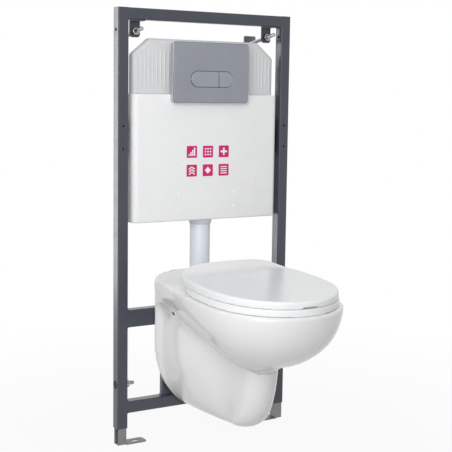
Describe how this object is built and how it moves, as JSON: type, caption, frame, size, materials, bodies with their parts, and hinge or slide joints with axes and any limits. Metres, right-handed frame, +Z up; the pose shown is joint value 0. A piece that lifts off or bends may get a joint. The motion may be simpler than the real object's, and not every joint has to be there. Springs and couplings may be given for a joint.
{
  "type": "wall hung toilet frame",
  "caption": "Steel tube frame on sliding legs with a hidden cistern, flush plate, flush pipe and a wall hung ceramic pan with hinged seat and lid.",
  "frame": {"origin": "on the left wall plate's wall face, between its two holes", "axes": "+X across to the right seen from the front, +Y into the wall, +Z up"},
  "size_m": [0.5, 0.5703, 1.078],
  "materials": {
    "frame_paint": "graphite powder coat",
    "zinc": "bright zinc",
    "tank_plastic": "moulded",
    "foam": "expanded foam bead",
    "plate_rim": "polished",
    "plate_satin": "satin",
    "button": "satin",
    "pipe_plastic": "smooth",
    "waste_plastic": "smooth",
    "glaze": "gloss white glaze",
    "seat_plastic": "gloss white",
    "hinge": "polished"
  },
  "bodies": {
    "frame": {"left_post": "frame_paint", "right_post": "frame_paint", "top_rail": "frame_paint", "pan_rail": "frame_paint", "lower_rail": "frame_paint", "left_inner_post": "frame_paint", "right_inner_post": "frame_paint", "left_wall_bracket": "frame_paint", "right_wall_bracket": "frame_paint", "left_cistern_bracket": "frame_paint", "right_cistern_bracket": "frame_paint", "left_wall_rod": "zinc", "right_wall_rod": "zinc", "left_rod_nut": "zinc", "right_rod_nut": "zinc", "left_wall_plate": "zinc", "right_wall_plate": "zinc", "left_lock_bolt": "zinc", "right_lock_bolt": "zinc", "left_pan_stud": "zinc", "right_pan_stud": "zinc", "cistern_tank": "tank_plastic", "insulation_jacket": "foam", "flush_plate_rim": "plate_rim", "flush_plate_face": "plate_satin", "flush_pipe_nut": "pipe_plastic", "flush_pipe": "pipe_plastic", "waste_pipe": "waste_plastic", "pan": "glaze", "left_seat_hinge": "hinge", "right_seat_hinge": "hinge"},
    "seat": {"seat_ring": "seat_plastic"},
    "lid": {"lid": "seat_plastic"},
    "full_button": {"full_flush_button": "button"},
    "half_button": {"half_flush_button": "button"},
    "left_leg": {"left_leg": "zinc"},
    "right_leg": {"right_leg": "zinc"}
  },
  "joints": [
    {"name": "seat_hinge", "type": "hinge", "parent": "frame", "child": "seat", "pos_m": [0.192, -0.21037, -0.55991], "axis": [1, 0, 0], "range_deg": [-95, 0]},
    {"name": "lid_hinge", "type": "hinge", "parent": "seat", "child": "lid", "pos_m": [0.192, -0.21037, -0.55991], "axis": [-1, 0, 0], "range_deg": [0, 95]},
    {"name": "full_flush_press", "type": "slide", "parent": "frame", "child": "full_button", "axis": [0, 1, 0], "range_m": [0, 0.004], "stiffness_N_per_m": 600},
    {"name": "half_flush_press", "type": "slide", "parent": "frame", "child": "half_button", "axis": [0, 1, 0], "range_m": [0, 0.004], "stiffness_N_per_m": 600},
    {"name": "left_leg_slide", "type": "slide", "parent": "frame", "child": "left_leg", "axis": [0, 0, 1], "range_m": [-0.15, 0.033]},
    {"name": "right_leg_slide", "type": "slide", "parent": "frame", "child": "right_leg", "axis": [0, 0, 1], "range_m": [-0.15, 0.033]}
  ]
}
